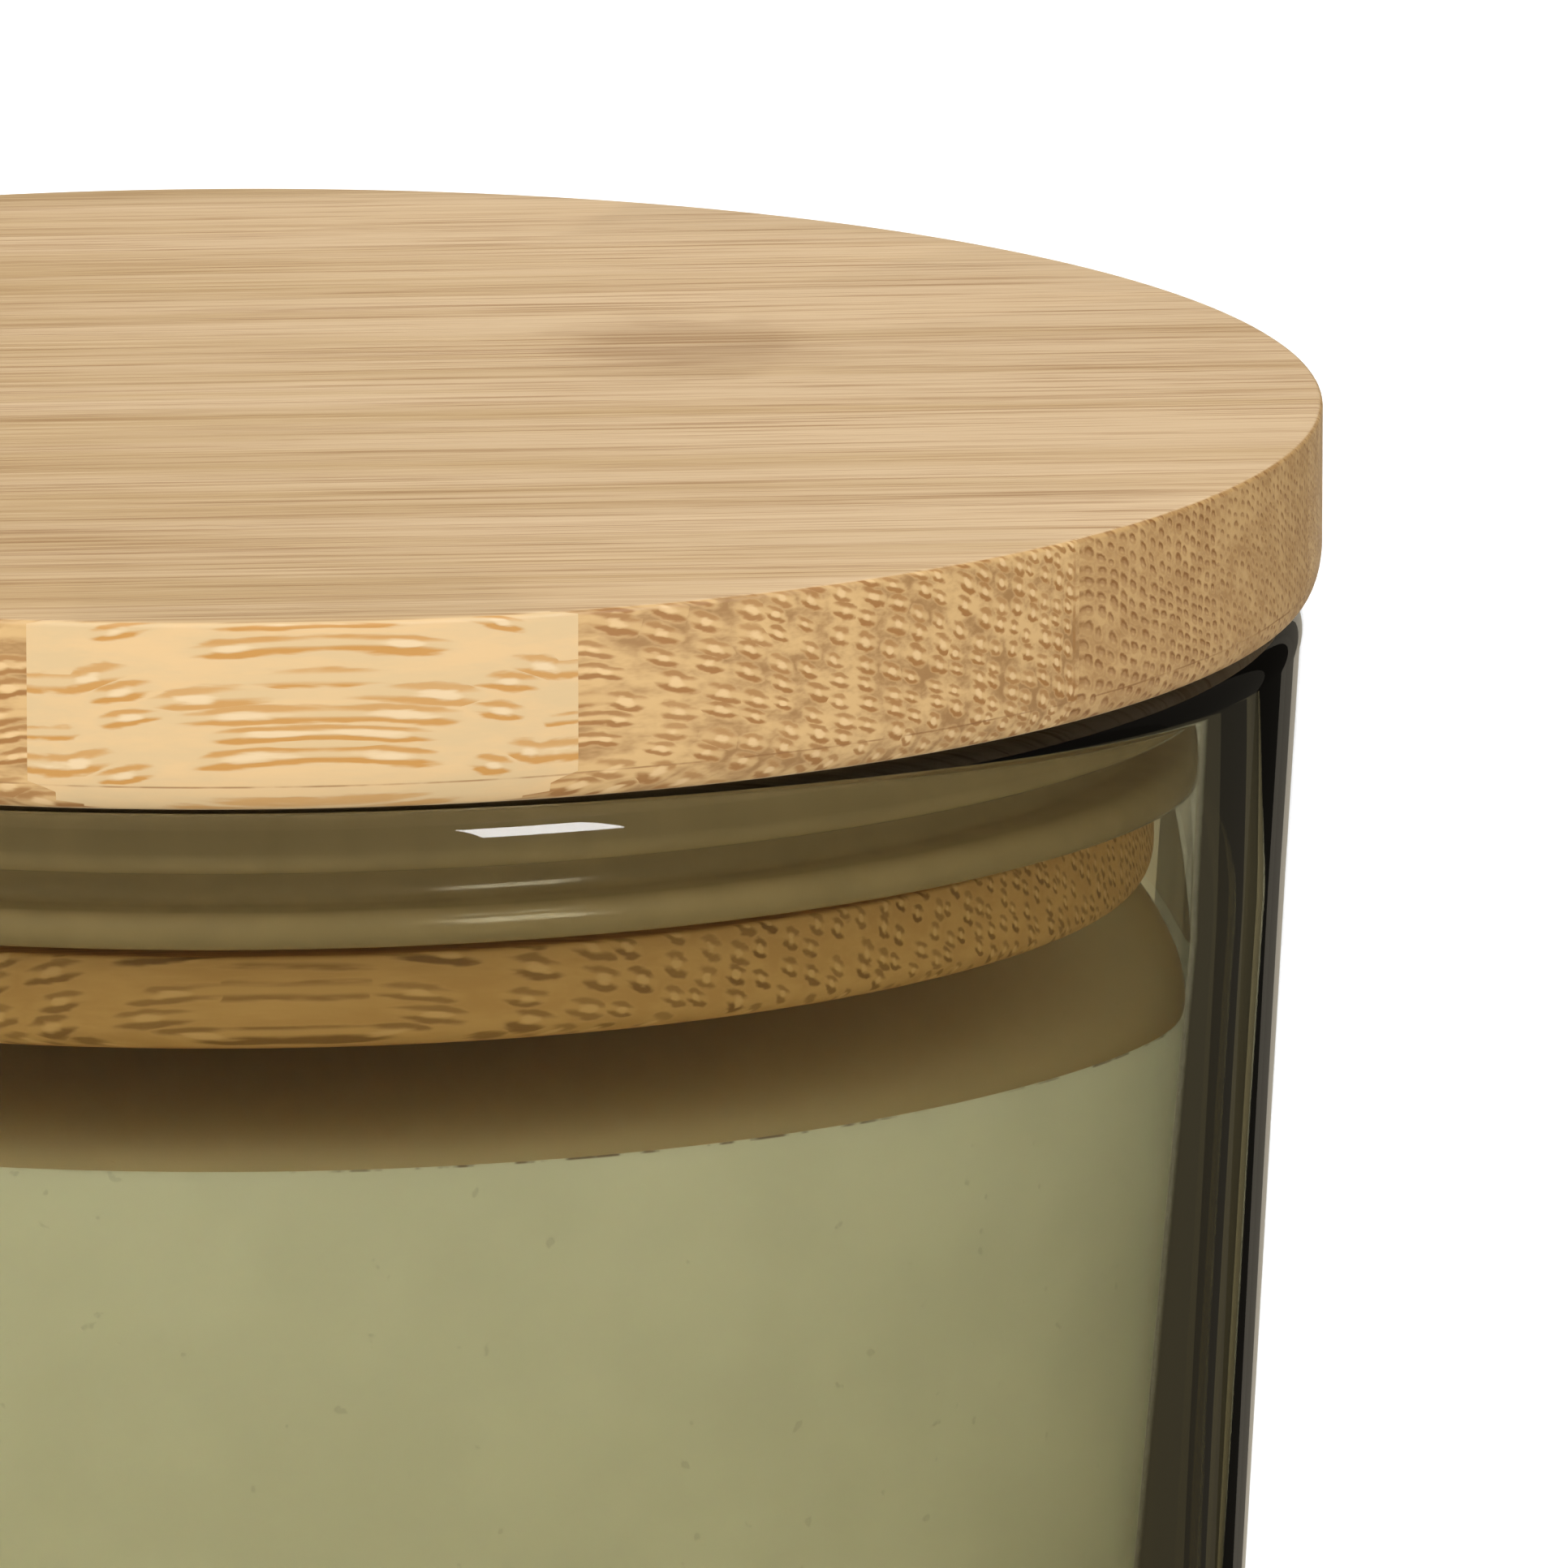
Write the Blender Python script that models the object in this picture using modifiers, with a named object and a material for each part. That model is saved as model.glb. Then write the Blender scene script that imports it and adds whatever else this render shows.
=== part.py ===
"""Candle jar with a turned bamboo lid: tapered glass, wax, wick, silicone seal and laminated lid.

The origin is the centre of the base, +Z is up and the bamboo grain runs along X. All sizes are in metres.
"""

import math

import bmesh
import bpy

# Driving dimensions
LID_RADIUS = 0.0420
LID_THICKNESS = 0.0072
JAR_HEIGHT = 0.0900
FIT_GAP = 0.0003  # what touching pieces keep between them

# Glass
RIM_OUTER_RADIUS = 0.98665 * LID_RADIUS
OUTER_SLOPE = 0.0563  # radius gained for each unit of height
RIM_INNER_RADIUS = 0.9215 * LID_RADIUS
INNER_SLOPE = 0.087
FLOOR_HEIGHT = 0.0080
FLOOR_FILLET = 0.0070
BASE_FILLET = 0.0030
PUNT_RADIUS = 0.0270  # the hollow pressed into the underside
PUNT_STEP = 0.0020
PUNT_HEIGHT = 0.0012

# Wax and wick
WAX_DEPTH = 0.3575 * LID_RADIUS  # from the lid's underside down to the wax
MENISCUS_WIDTH = 0.0016
MENISCUS_RISE = 0.0006
WICK_RADIUS = 0.0011
WICK_ABOVE_WAX = 0.0040
WICK_LEAN = 0.0007
TAB_RADIUS = 0.0100
TAB_THICKNESS = 0.0003
NECK_HEIGHT = 0.0060
NECK_WALL = 0.0004
STICKER_RADIUS = 0.0095
STICKER_THICKNESS = 0.0010

# Lid board, laminated from strips that are glued edge to edge across Y
LID_TOP_BREAK = 0.0003
LID_FOOT_HEIGHT = 0.043 * LID_RADIUS  # the rounded lower edge
LID_FOOT_DEPTH = 0.0175 * LID_RADIUS
GLUE_LINES = [share * LID_RADIUS for share in (-0.971, -0.702, -0.515, -0.265, -0.010, 0.400, 0.650, 0.895)]

# Plug and seal
PLUG_RADIUS = 0.858 * LID_RADIUS
PLUG_DEPTH = 0.2435 * LID_RADIUS
PLUG_ROUNDING = 0.0009
GROOVE_TOP = 0.0014  # from the lid's underside
GROOVE_BOTTOM = 0.0063
GROOVE_DEPTH = 0.0018
SEAL_BAND = 0.0014  # the seal's body, without its lips
LIP_RADIUS = 0.0007

# Facets
ROUND_STEPS = 72
SMALL_STEPS = 32
ARC_STEPS = 5

# Heights that follow from the sizes above
LID_UNDERSIDE = JAR_HEIGHT + FIT_GAP
LID_TOP = LID_UNDERSIDE + LID_THICKNESS
PLUG_TOP = LID_UNDERSIDE - FIT_GAP
PLUG_BOTTOM = LID_UNDERSIDE - PLUG_DEPTH
WAX_TOP = LID_UNDERSIDE - WAX_DEPTH
STICKER_BASE = FLOOR_HEIGHT + FIT_GAP
TAB_BASE = STICKER_BASE + STICKER_THICKNESS + FIT_GAP
NECK_TOP = TAB_BASE + TAB_THICKNESS + NECK_HEIGHT
NECK_RADIUS = WICK_RADIUS + FIT_GAP + NECK_WALL


def outer_radius(height):
    """Radius of the glass's outer wall at a height."""
    return RIM_OUTER_RADIUS - OUTER_SLOPE * (JAR_HEIGHT - height)


def inner_radius(height):
    """Radius of the glass's inner wall at a height."""
    return RIM_INNER_RADIUS - INNER_SLOPE * (JAR_HEIGHT - height)


def arc(centre, radii, start, end, steps=ARC_STEPS):
    """Points along an elliptical arc in the profile plane. Angles are in degrees from +X."""
    turns = [math.radians(start + (end - start) * step / steps) for step in range(steps + 1)]
    return [(centre[0] + radii[0] * math.cos(turn), centre[1] + radii[1] * math.sin(turn)) for turn in turns]


def wall_fillet(wall_radius, slope, floor, radius, upwards):
    """Round corner between a flat floor and a tapered wall that rises from it."""
    height = floor + radius
    centre = (wall_radius(height) - radius * math.hypot(1, slope), height)
    points = arc(centre, (radius, radius), -90, -math.degrees(math.atan(slope)))
    return points if upwards else points[::-1]


def new_object(name, data, collection):
    """Links a new object into a collection."""
    made = bpy.data.objects.new(name, data)
    collection.objects.link(made)
    return made


def turned(name, profile, collection, steps=ROUND_STEPS, ring=False):
    """Solid turned about Z from a profile that runs down its outer side. A ring's profile is a closed loop."""
    shape = bmesh.new()
    points = [shape.verts.new((radius, 0, height)) for radius, height in profile]
    for first, second in zip(points, points[1:]):
        shape.edges.new((first, second))
    if ring:
        shape.edges.new((points[-1], points[0]))
    mesh = bpy.data.meshes.new(name)
    shape.to_mesh(mesh)
    shape.free()
    made = new_object(name, mesh, collection)
    screw = made.modifiers.new("turn", "SCREW")
    screw.steps = screw.render_steps = steps
    screw.use_merge_vertices = True
    screw.merge_threshold = 0.00001
    screw.use_smooth_shade = True
    return made


def paint(made, name, colour, roughness, metallic=0.0, transmission=0.0):
    """Gives an object its own Principled material."""
    material = bpy.data.materials.new(name)
    material.use_nodes = True
    shader = material.node_tree.nodes["Principled BSDF"]
    shader.inputs["Base Color"].default_value = (*colour, 1)
    shader.inputs["Roughness"].default_value = roughness
    shader.inputs["Metallic"].default_value = metallic
    shader.inputs["Transmission Weight"].default_value = transmission
    made.data.materials.clear()
    made.data.materials.append(material)


def glass_jar(parts):
    """Pressed glass: a thick floor with a punt under it, a wall that thins upwards and a fire-polished rim."""
    floor_corner = wall_fillet(inner_radius, INNER_SLOPE, FLOOR_HEIGHT, FLOOR_FILLET, upwards=True)
    base_corner = wall_fillet(outer_radius, OUTER_SLOPE, 0, BASE_FILLET, upwards=False)
    half_wall = (RIM_OUTER_RADIUS - RIM_INNER_RADIUS) / 2
    rim_height = JAR_HEIGHT - half_wall
    rim_middle = (outer_radius(rim_height) + inner_radius(rim_height)) / 2
    rim_reach = (outer_radius(rim_height) - inner_radius(rim_height)) / 2
    rim = arc((rim_middle, rim_height), (rim_reach, half_wall), 180, 0, 2 * ARC_STEPS)
    punt = [(PUNT_RADIUS + PUNT_STEP, 0), (PUNT_RADIUS, PUNT_HEIGHT), (0, PUNT_HEIGHT)]
    jar = turned("glass_jar", [(0, FLOOR_HEIGHT)] + floor_corner + rim + base_corner + punt, parts)
    paint(jar, "olive_green_glass", (0.30, 0.34, 0.22), 0.03, transmission=0.9)


def wax_fill(parts):
    """Poured wax that has shrunk off the glass, with a raised edge and room for the wick and its tab."""

    def wax_radius(height):
        return inner_radius(height) - FIT_GAP * math.hypot(1, INNER_SLOPE)

    edge_top = WAX_TOP + MENISCUS_RISE
    edge = wax_radius(edge_top)
    meniscus = arc((edge - MENISCUS_WIDTH, edge_top), (MENISCUS_WIDTH, MENISCUS_RISE), -90, 0)
    bottom = FLOOR_HEIGHT + FIT_GAP
    corner = wall_fillet(wax_radius, INNER_SLOPE, bottom, FLOOR_FILLET - FIT_GAP, upwards=False)
    bore = WICK_RADIUS + FIT_GAP
    tab_room = TAB_RADIUS + FIT_GAP
    tab_top = TAB_BASE + TAB_THICKNESS + FIT_GAP
    neck_room = NECK_RADIUS + FIT_GAP
    neck_top = NECK_TOP + FIT_GAP
    pocket = [(tab_room, bottom), (tab_room, tab_top), (neck_room, tab_top), (neck_room, neck_top), (bore, neck_top)]
    wax = turned("wax_fill", [(bore, WAX_TOP)] + meniscus + corner + pocket, parts, ring=True)
    paint(wax, "soy_wax", (0.86, 0.83, 0.72), 0.55)


def wick(parts):
    """Braided cotton wick, straight through the wax and leaning a little above it."""
    path = bpy.data.curves.new("wick", "CURVE")
    path.dimensions = "3D"
    path.bevel_depth = WICK_RADIUS
    path.bevel_resolution = 4
    path.use_fill_caps = True
    stops = [(0, TAB_BASE), (0, NECK_TOP), (0, WAX_TOP), (WICK_LEAN / 3, WAX_TOP + WICK_ABOVE_WAX / 2)]
    stops.append((WICK_LEAN, WAX_TOP + WICK_ABOVE_WAX))
    line = path.splines.new("POLY")
    line.points.add(len(stops) - 1)
    for point, (lean, height) in zip(line.points, stops):
        point.co = (lean, 0, height, 1)
    paint(new_object("wick", path, parts), "waxed_cotton", (0.88, 0.85, 0.76), 0.8)


def wick_tab(parts):
    """Tinned steel tab: a disc with a crimped neck that holds the wick."""
    bore = WICK_RADIUS + FIT_GAP
    disc_top = TAB_BASE + TAB_THICKNESS
    profile = [(bore, NECK_TOP), (NECK_RADIUS, NECK_TOP), (NECK_RADIUS, disc_top)]
    profile += [(TAB_RADIUS, disc_top), (TAB_RADIUS, TAB_BASE), (bore, TAB_BASE)]
    tab = turned("wick_tab", profile, parts, SMALL_STEPS, ring=True)
    paint(tab, "tinned_steel", (0.70, 0.71, 0.72), 0.3, metallic=1.0)


def wick_sticker(parts):
    """Foam sticker that fixes the tab to the jar's floor."""
    top = STICKER_BASE + STICKER_THICKNESS
    profile = [(0, top), (STICKER_RADIUS, top), (STICKER_RADIUS, STICKER_BASE), (0, STICKER_BASE)]
    paint(turned("wick_sticker", profile, parts, SMALL_STEPS), "foam", (0.92, 0.92, 0.90), 0.7)


def lid_plug(parts):
    """Bamboo plug under the lid, grooved for the seal and rounded at its bottom edge."""
    groove_floor = PLUG_RADIUS - GROOVE_DEPTH
    groove_top = LID_UNDERSIDE - GROOVE_TOP
    groove_bottom = LID_UNDERSIDE - GROOVE_BOTTOM
    centre = (PLUG_RADIUS - PLUG_ROUNDING, PLUG_BOTTOM + PLUG_ROUNDING)
    profile = [(0, PLUG_TOP), (PLUG_RADIUS, PLUG_TOP), (PLUG_RADIUS, groove_top), (groove_floor, groove_top)]
    profile += [(groove_floor, groove_bottom), (PLUG_RADIUS, groove_bottom)]
    profile += arc(centre, (PLUG_ROUNDING, PLUG_ROUNDING), 0, -90) + [(0, PLUG_BOTTOM)]
    paint(turned("lid_plug", profile, parts), "plug_bamboo", (0.72, 0.52, 0.28), 0.5)


def seal_ring(parts):
    """Silicone seal: a band in the plug's groove with two round lips that wipe the glass."""
    inner = PLUG_RADIUS - GROOVE_DEPTH + FIT_GAP
    top = LID_UNDERSIDE - GROOVE_TOP - FIT_GAP
    bottom = LID_UNDERSIDE - GROOVE_BOTTOM + FIT_GAP
    band = inner + SEAL_BAND
    profile = [(inner, top)]
    for height in (top - LIP_RADIUS, bottom + LIP_RADIUS):
        lip_centre = (inner_radius(height) - FIT_GAP - LIP_RADIUS, height)
        lip = arc(lip_centre, (LIP_RADIUS, LIP_RADIUS), 90, -90)
        profile += lip if height < (top + bottom) / 2 else lip + [(band, height - LIP_RADIUS)]
        if height > (top + bottom) / 2:
            profile.append((band, bottom + 2 * LIP_RADIUS))
    profile.append((inner, bottom))
    seal = turned("seal_ring", profile, parts, ring=True)
    paint(seal, "olive_silicone", (0.42, 0.38, 0.26), 0.35)


def strip_cutter(name, low, high, cutters):
    """Box that cuts one strip out of the lid board."""
    shape = bmesh.new()
    bmesh.ops.create_cube(shape, size=1)
    for corner in shape.verts:
        corner.co.x *= 3 * LID_RADIUS
        corner.co.y = high if corner.co.y > 0 else low
        corner.co.z = (LID_TOP + LID_UNDERSIDE) / 2 + corner.co.z * 2 * LID_THICKNESS
    mesh = bpy.data.meshes.new(name)
    shape.to_mesh(mesh)
    shape.free()
    cutter = new_object(name, mesh, cutters)
    cutter.hide_render = True
    cutter.display_type = "WIRE"
    return cutter


def lid_strips(parts, cutters):
    """The lid board: a turned disc, cut along its glue lines into the strips that it is laminated from."""
    foot_centre = (LID_RADIUS - LID_FOOT_DEPTH, LID_UNDERSIDE + LID_FOOT_HEIGHT)
    profile = [(0, LID_TOP), (LID_RADIUS - LID_TOP_BREAK, LID_TOP), (LID_RADIUS, LID_TOP - LID_TOP_BREAK)]
    profile += arc(foot_centre, (LID_FOOT_DEPTH, LID_FOOT_HEIGHT), 0, -90) + [(0, LID_UNDERSIDE)]
    edges = [-2 * LID_RADIUS] + GLUE_LINES + [2 * LID_RADIUS]
    for number, (low, high) in enumerate(zip(edges, edges[1:]), 1):
        strip = turned(f"lid_strip_{number}", profile, parts)
        cut = strip.modifiers.new("cut", "BOOLEAN")
        cut.operation = "INTERSECT"
        cut.object = strip_cutter(f"cutter_{number}", low + FIT_GAP / 2, high - FIT_GAP / 2, cutters)
        shade = 0.02 * (number % 3)
        paint(strip, f"lid_bamboo_{number}", (0.70 - shade, 0.50 - shade, 0.29 - shade), 0.5)


def main():
    """Clears the scene and builds every piece."""
    for old in list(bpy.data.objects):
        bpy.data.objects.remove(old)
    parts = bpy.data.collections.new("candle_jar")
    cutters = bpy.data.collections.new("cutters")
    for collection in (parts, cutters):
        bpy.context.scene.collection.children.link(collection)
    glass_jar(parts)
    wax_fill(parts)
    wick(parts)
    wick_tab(parts)
    wick_sticker(parts)
    lid_plug(parts)
    seal_ring(parts)
    lid_strips(parts, cutters)


main()
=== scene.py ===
"""Finished look of the candle jar: tapered olive glass, wax and wick, silicone seal, laminated bamboo lid."""

import math

import bpy
from bpy.props import FloatProperty, FloatVectorProperty, IntProperty, PointerProperty
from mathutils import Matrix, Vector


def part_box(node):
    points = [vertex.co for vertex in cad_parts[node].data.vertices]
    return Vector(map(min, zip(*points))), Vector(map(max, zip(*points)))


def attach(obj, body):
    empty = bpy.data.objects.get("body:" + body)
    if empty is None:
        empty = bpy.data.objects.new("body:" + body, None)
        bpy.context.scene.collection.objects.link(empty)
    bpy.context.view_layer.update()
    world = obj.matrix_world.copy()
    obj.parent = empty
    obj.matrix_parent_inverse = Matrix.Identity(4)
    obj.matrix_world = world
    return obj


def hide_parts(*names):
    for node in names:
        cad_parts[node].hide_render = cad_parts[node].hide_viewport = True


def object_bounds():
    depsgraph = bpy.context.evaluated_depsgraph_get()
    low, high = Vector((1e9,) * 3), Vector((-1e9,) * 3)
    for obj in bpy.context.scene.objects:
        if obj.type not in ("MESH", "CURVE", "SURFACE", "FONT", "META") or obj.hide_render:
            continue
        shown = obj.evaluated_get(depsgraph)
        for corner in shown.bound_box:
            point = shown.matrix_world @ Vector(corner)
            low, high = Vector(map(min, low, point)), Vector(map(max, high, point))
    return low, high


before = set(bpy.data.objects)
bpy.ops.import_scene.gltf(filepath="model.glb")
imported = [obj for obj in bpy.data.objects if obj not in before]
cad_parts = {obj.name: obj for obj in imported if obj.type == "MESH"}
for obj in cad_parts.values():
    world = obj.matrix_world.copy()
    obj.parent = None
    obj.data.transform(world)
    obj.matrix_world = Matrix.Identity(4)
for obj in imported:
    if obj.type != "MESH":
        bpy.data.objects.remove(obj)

bl_info = {
    "name": "Candle jar",
    "version": (1, 0, 0),
    "blender": (4, 5, 0),
    "location": "View3D > Sidebar > Candle jar",
    "description": "Makes a glass candle jar with a bamboo lid around its CAD frame",
    "category": "Object",
}

CAD_BOX = [list(corner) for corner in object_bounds()]
STRIPS = sorted(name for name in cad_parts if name.startswith("lid_strip_"))
STRIP_BOXES = {name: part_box(name) for name in STRIPS}
JAR_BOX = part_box("glass_jar")
WAX_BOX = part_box("wax_fill")
PLUG_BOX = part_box("lid_plug")
SEAL_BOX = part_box("seal_ring")
WICK_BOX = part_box("wick")
TAB_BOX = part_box("wick_tab")
STICKER_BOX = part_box("wick_sticker")

# How each piece of bamboo looks. Where the cane is cut across, its vascular bundles stand in columns. Their
# spacing goes evenly from near, at the front side, to far, at the back, in millimetres. near and far differ.
#   tall: the rows' spacing as a share of near      size: a bundle's radius as a share of its cell
#   jitter: how unevenly the bundles stand          pitted: 0 for paired arcs round a pale core, 1 for pits with painted shade
#   vessel and dark: the arcs' colour and strength  ground: the colour between the bundles
#   warm and shade: the fibres' hue and brightness  tint: what the flat faces' colours are multiplied by (on
#       the plug, shade and tint are partly painted light)
#   glue: a worn glue line at the back side         knot: where along X the cane's joint lies, in millimetres
#   seed: sets the piece's own pattern
CREAM, TAN, DARK_TAN = (0.50, 0.335, 0.160), (0.30, 0.165, 0.055), (0.25, 0.130, 0.040)
AMBER, HONEY, NUT_BROWN = (0.38, 0.185, 0.038), (0.58, 0.335, 0.115), (0.25, 0.112, 0.025)
BROWN, DEEP_BROWN = (0.20, 0.085, 0.018), (0.14, 0.056, 0.013)
CANE = dict(tall=1.40, size=0.30, jitter=0.33, pitted=0.0, vessel=BROWN, dark=0.74, ground=TAN, warm=1.0,
            shade=1.0, tint=(1.0, 1.0, 1.0), glue=False, knot=0.0)
# The plug's bamboo is painted lighter than the lid's (shade 1.35), and its flat faces redder (tint). This is
# painted light: it stands in for the light the plug gets under the lid and browns the shade its underside
# throws onto the wax.
PLUG_WOOD = dict(CANE, seed=11.0, near=0.62, far=0.30, tall=1.7, jitter=0.55, dark=0.55, ground=HONEY,
                 warm=1.06, shade=1.35, tint=(1.45, 1.15, 0.75))
STRIP_WOOD = (
    dict(CANE, seed=2.0, near=0.52, far=0.50, tall=2.1, jitter=0.75, vessel=AMBER, dark=0.85, ground=CREAM,
         warm=0.90, shade=1.11),
    dict(CANE, seed=7.3, near=0.65, far=0.53, size=0.33, jitter=0.40, vessel=NUT_BROWN, dark=0.80,
         ground=DARK_TAN, glue=True),
    dict(CANE, seed=12.6, near=0.58, far=0.45, tall=1.05, size=0.35, pitted=0.70, dark=0.95, warm=1.03,
         shade=0.88),
    dict(CANE, seed=17.9, near=0.50, far=0.44, tall=1.00, pitted=0.8, dark=0.70, warm=1.03, shade=0.87),
    dict(CANE, seed=23.2, near=0.46, far=0.66, tall=0.95, pitted=0.5),
    dict(CANE, seed=28.5, near=0.66, far=0.46, tall=0.95, pitted=0.4, knot=17.8),
    dict(CANE, seed=33.8, near=0.46, far=0.64, pitted=0.4),
    dict(CANE, seed=39.1, near=0.64, far=0.46, glue=True),
    dict(CANE, seed=44.4, near=0.46, far=0.56, ground=CREAM),
)

# Sizes that follow from the frame, in metres
LID_RADIUS = CAD_BOX[1][0]
LID_TOP = CAD_BOX[1][2]
LID_UNDERSIDE = STRIP_BOXES[STRIPS[0]][0].z
JAR_HEIGHT = JAR_BOX[1].z
RIM_RADIUS = 0.98665 * LID_RADIUS
PLUG_RADIUS = PLUG_BOX[1].x
PLUG_BOTTOM = PLUG_BOX[0].z
WAX_EDGE = WAX_BOX[1].z

# Sizes that the frame doesn't give, in metres
FIT_GAP = 0.0003  # what touching pieces keep between them
GROOVE_DEPTH = 0.0018  # the seal's groove in the plug
TAB_NECK = 0.0018  # the outer radius of the tab's neck
TAB_SHEET = 0.0003  # the thickness of the tab's disc
MM_PER_METRE = 1000.0
SMOOTH_ANGLE = math.radians(32)

# The camera: its azimuth, how far away and above the lid it is, how far it looks down, and how far to the
# right of the jar it looks
SWING = math.radians(-3.55)
CAMERA_DISTANCE = 21.85 * LID_RADIUS
CAMERA_RISE = 4.444 * LID_RADIUS
CAMERA_TILT = math.radians(12.415)
CAMERA_PAN = math.radians(1.326)

# The tent stands a little above the floor, and its skirt reaches in to TENT_MOUTH of its radius. A panel has
# where it ends, in degrees from the camera's side, and its brightness. Behind the last one the tent is open.
TENT_RADIUS, TENT_FOOT, TENT_MOUTH = 0.45, 0.001, 0.12
TENT_PANELS = ((113, 0.06), (138, 0.08), (147, 0.02), (151, 0.17), (156, 0.15), (159, 0.60))
TENT_TONE = (1.0, 0.90, 0.72)
WINDOW_AZIMUTHS, WINDOW_ELEVATIONS = (25, 39), (24, 47)


# ---------------------------------------------------------------- settings


def length(name, description, default):
    """A length property in metres."""
    return FloatProperty(name=name, description=description, default=default, unit="LENGTH", precision=5)


def amount(name, description, default):
    """A property without a unit."""
    return FloatProperty(name=name, description=description, default=default, precision=4)


def colour(name, description, default):
    """A linear colour property."""
    return FloatVectorProperty(
        name=name, description=description, default=default, subtype="COLOR", size=3, min=0, max=1
    )


class GlassSettings(bpy.types.PropertyGroup):
    """Shape and tint of the pressed glass."""

    outer_slope: amount("Outer slope", "Radius gained per unit of height", 0.0563)
    inner_slope: amount("Inner slope", "Inner radius gained per unit of height", 0.087)
    rim_inner: length("Mouth radius", "Inner radius at the rim", 0.9215 * LID_RADIUS)
    floor: length("Floor height", "Top of the glass floor", 0.0080)
    floor_fillet: length("Floor fillet", "Radius inside, between floor and wall", 0.0070)
    base_fillet: length("Base fillet", "Radius outside, between wall and base", 0.0030)
    punt_radius: length("Punt radius", "Radius of the hollow in the underside", 0.0270)
    punt_height: length("Punt height", "Depth of the hollow in the underside", 0.0012)
    tint: colour("Tint", "Colour that the glass lets through", (0.63, 0.585, 0.30))
    density: amount("Density", "How strongly the glass absorbs, per metre", 200.0)
    rounds: IntProperty(name="Segments", description="Segments round the jar", default=256)


class WaxSettings(bpy.types.PropertyGroup):
    """Shape and colour of the poured wax."""

    fill_top: length("Wax level", "Height of the wax's flat top", LID_UNDERSIDE - 0.3575 * LID_RADIUS)
    gap: length("Air film", "Gap between wax and glass", FIT_GAP)
    meniscus_width: length("Meniscus width", "Width of the raised edge", 0.0016)
    body: colour("Wax", "Colour of the wax", (0.85, 0.86, 0.70))


class BambooSettings(bpy.types.PropertyGroup):
    """Colours and edges of the bamboo."""

    sheath: colour("Fibre sheath", "Colour of the pale fibres round each bundle", (0.455, 0.290, 0.118))
    core: colour("Core", "Colour in the middle of a bundle", (0.58, 0.40, 0.205))
    face: colour("Sanded face", "Colour of the flat, sanded face", (0.395, 0.262, 0.122))
    pale_face: colour("Pale face", "Colour of the face's paler stretches", (0.485, 0.344, 0.197))
    streak: colour("Streak", "Colour of the face's dark lines", (0.24, 0.120, 0.036))
    pale_streak: colour("Pale streak", "Colour of the face's pale lines", (0.52, 0.375, 0.215))
    knot: colour("Knot", "Colour of the joint in the cane", (0.22, 0.115, 0.04))
    foot_height: length("Foot height", "Height of the rounded lower edge", 0.043 * LID_RADIUS)
    foot_depth: length("Foot depth", "How far the lower edge turns in", 0.0175 * LID_RADIUS)
    scratch: length("Tool line", "Height of the lathe tool's line above the underside", 0.00100)
    top_break: length("Edge break", "How far the top edge is broken", 0.00022)


class SealSettings(bpy.types.PropertyGroup):
    """Shape and colour of the silicone seal."""

    lip: length("Lip radius", "Radius of each lip", 0.0007)
    band: length("Band", "Thickness of the seal between its lips", 0.0014)
    silicone: colour("Silicone", "Colour of the silicone", (0.54, 0.41, 0.225))


class StageSettings(bpy.types.PropertyGroup):
    """Floor, light and camera."""

    floor: colour("Floor", "Colour of the floor", (0.86, 0.86, 0.855))
    ambient: amount("Ambient", "Strength of the light from all round", 0.10)
    top: amount("Overhead", "Strength of the overhead light", 1.25)
    key: amount("Key", "Strength of the light from the front left", 7.9)
    side: amount("Side light", "Strength of the light from the front right", 4.6)
    tent: amount("Tent", "Brightness of the dark tent that the glass shows", 1.0)
    window: amount("Window", "Brightness of the window in the tent", 16.0)
    lens: FloatProperty(name="Lens", description="Focal length", default=557.7, unit="CAMERA")


class CandleJarSettings(bpy.types.PropertyGroup):
    """All settings of the candle jar."""

    glass: PointerProperty(type=GlassSettings)
    wax: PointerProperty(type=WaxSettings)
    bamboo: PointerProperty(type=BambooSettings)
    seal: PointerProperty(type=SealSettings)
    stage: PointerProperty(type=StageSettings)


# ---------------------------------------------------------------- shapes


def spread(start, end, steps):
    """Evenly spaced numbers from start to end."""
    return [start + (end - start) * step / steps for step in range(steps + 1)]


def arc(centre, radii, start, end, steps=8):
    """Points along an elliptical arc in the profile plane, with angles in degrees from +X."""
    turns = [math.radians(degrees) for degrees in spread(start, end, steps)]
    return [(centre[0] + radii[0] * math.cos(turn), centre[1] + radii[1] * math.sin(turn)) for turn in turns]


def wall_fillet(wall_radius, slope, floor, radius, upwards):
    """Round corner between a flat floor and a tapered wall that rises from it."""
    height = floor + radius
    centre = (wall_radius(height) - radius * math.hypot(1, slope), height)
    points = arc(centre, (radius, radius), -90, -math.degrees(math.atan(slope)), 12)
    return points if upwards else points[::-1]


def deselect():
    """Leaves nothing selected."""
    if bpy.context.object and bpy.context.object.mode != "OBJECT":
        bpy.ops.object.mode_set(mode="OBJECT")
    bpy.ops.object.select_all(action="DESELECT")


def finish_mesh(merge=0.000001):
    """In edit mode: closes seams and turns faces outwards, then smooths and fixes the piece's place."""
    bpy.ops.mesh.select_all(action="SELECT")
    bpy.ops.mesh.remove_doubles(threshold=merge)
    bpy.ops.mesh.normals_make_consistent(inside=False)
    bpy.ops.object.mode_set(mode="OBJECT")
    bpy.ops.object.transform_apply(location=True, rotation=True, scale=True)
    bpy.ops.object.shade_smooth_by_angle(angle=SMOOTH_ANGLE)
    return bpy.context.object


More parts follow.
